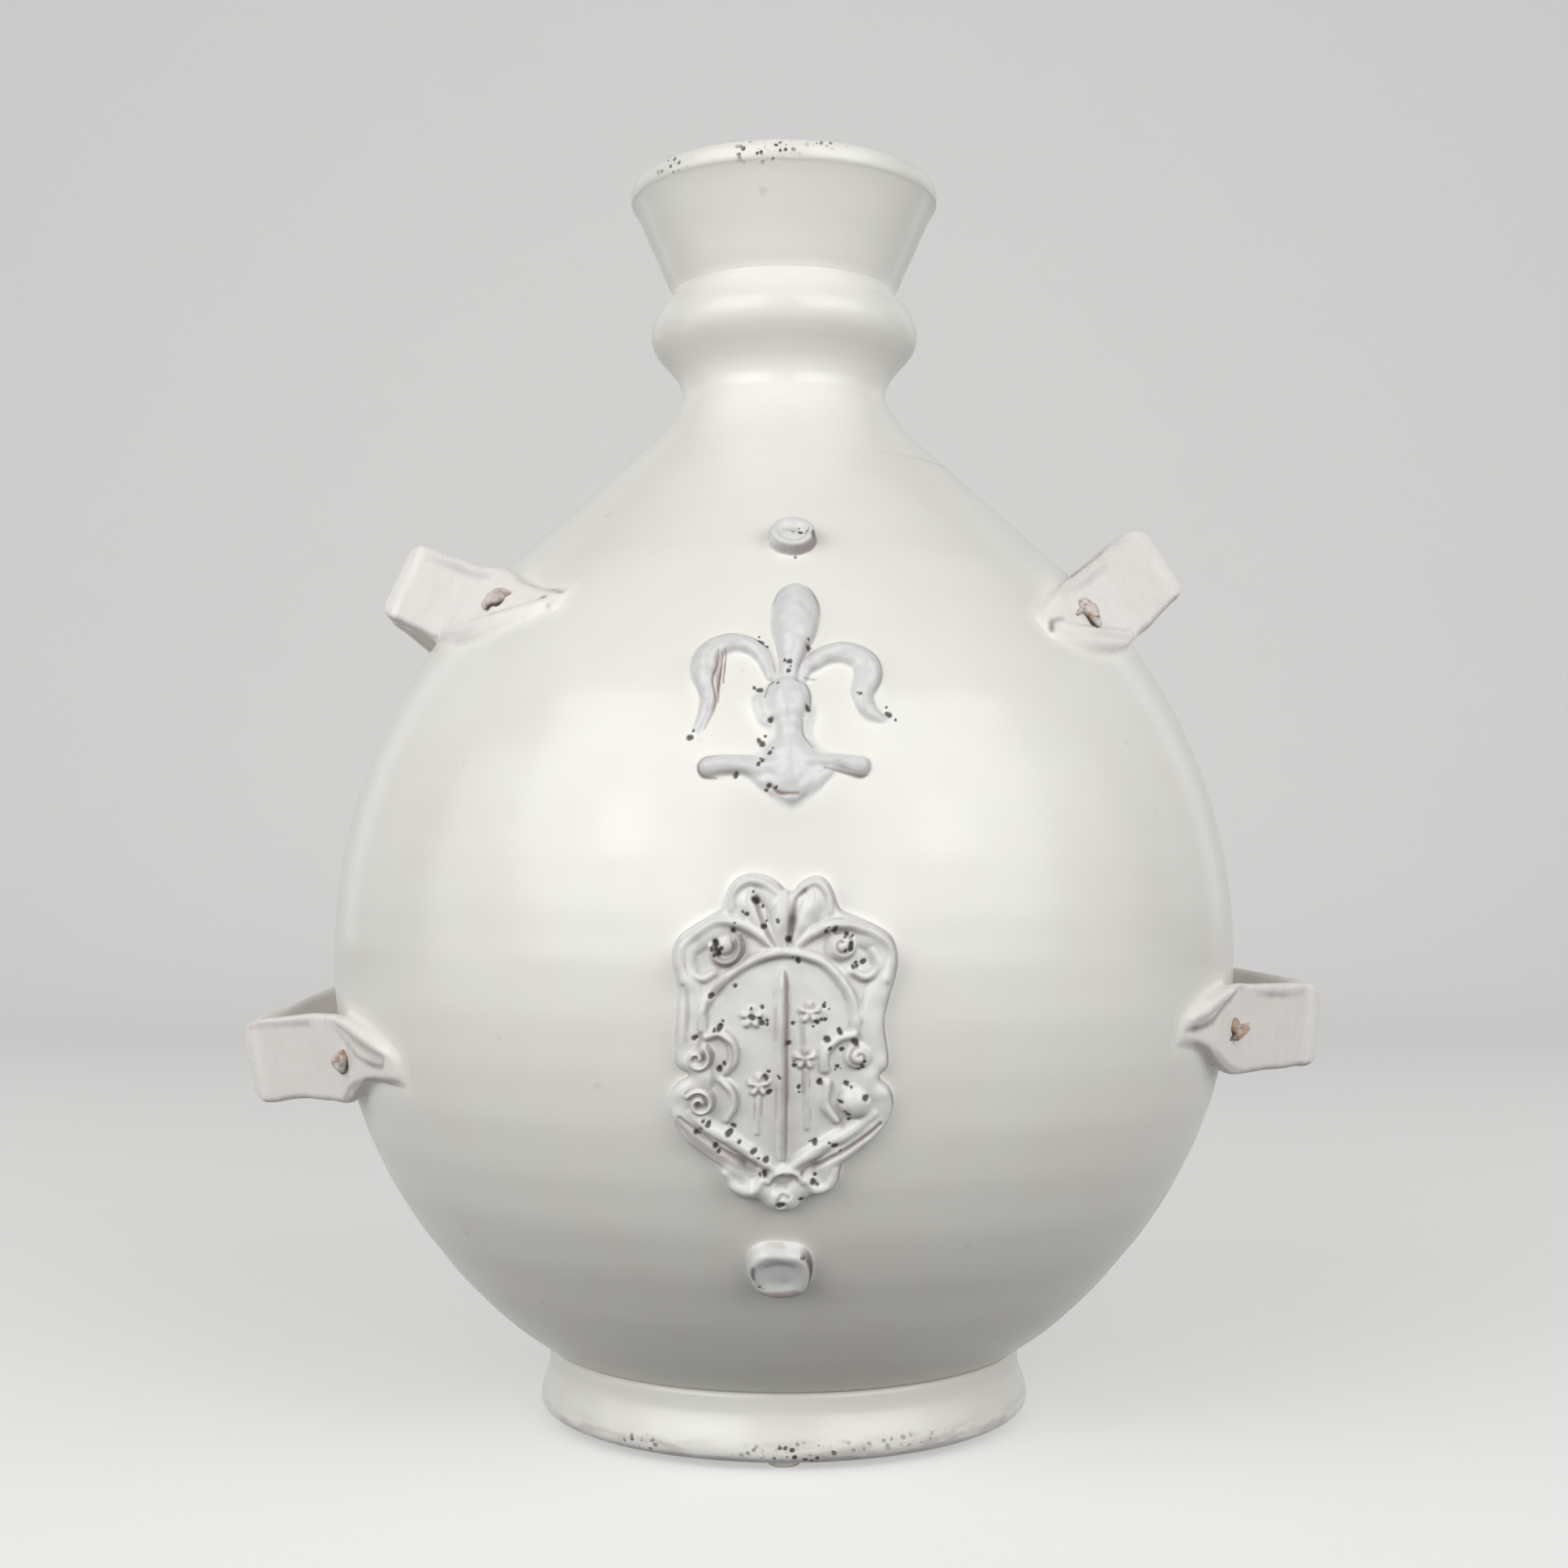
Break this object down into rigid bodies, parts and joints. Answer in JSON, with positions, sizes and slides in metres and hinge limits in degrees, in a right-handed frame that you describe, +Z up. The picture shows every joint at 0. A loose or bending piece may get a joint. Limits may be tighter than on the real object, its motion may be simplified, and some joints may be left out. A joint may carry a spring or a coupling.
{
  "type": "vase",
  "caption": "Hollow round-bellied ceramic vase on a foot ring, with a beaded neck, a flared mouth, strap loops on its sides and applied relief on its front.",
  "frame": {"origin": "on the vase's axis, in the plane of the surface it stands on", "axes": "+Z up along the vase's axis, -Y out of the front with the relief, +X to the right of someone who faces the front"},
  "size_m": [0.3517, 0.2923, 0.3986],
  "materials": {
    "ivory_glaze": "satin ivory glaze",
    "foot_glaze": "satin ivory glaze, thin and worn at the edge",
    "strap_glaze": "thin pinkish ivory glaze",
    "peg_clay": "bare tan clay with a dark edge",
    "relief_glaze": "satin glaze pooled grey in the hollows",
    "crest_glaze": "satin glaze, grey in the hollows, with dark pinholes",
    "pad_gel": "clear soft gel"
  },
  "bodies": {
    "root": {"body": "ivory_glaze", "neck": "ivory_glaze", "mouth": "ivory_glaze", "foot_ring": "foot_glaze", "loop_upper_left": "strap_glaze", "loop_upper_right": "strap_glaze", "loop_lower_left": "strap_glaze", "loop_lower_right": "strap_glaze", "peg_upper_left_front": "peg_clay", "peg_upper_left_back": "peg_clay", "peg_upper_right_front": "peg_clay", "peg_upper_right_back": "peg_clay", "peg_lower_left_front": "peg_clay", "peg_lower_left_back": "peg_clay", "peg_lower_right_front": "peg_clay", "peg_lower_right_back": "peg_clay", "button_top": "relief_glaze", "lily_petal_centre": "relief_glaze", "lily_petal_left": "relief_glaze", "lily_petal_right": "relief_glaze", "lily_stem": "relief_glaze", "button_bottom": "relief_glaze", "crest": "crest_glaze", "pad_front": "pad_gel", "pad_back_left": "pad_gel", "pad_back_right": "pad_gel"}
  },
  "joints": []
}
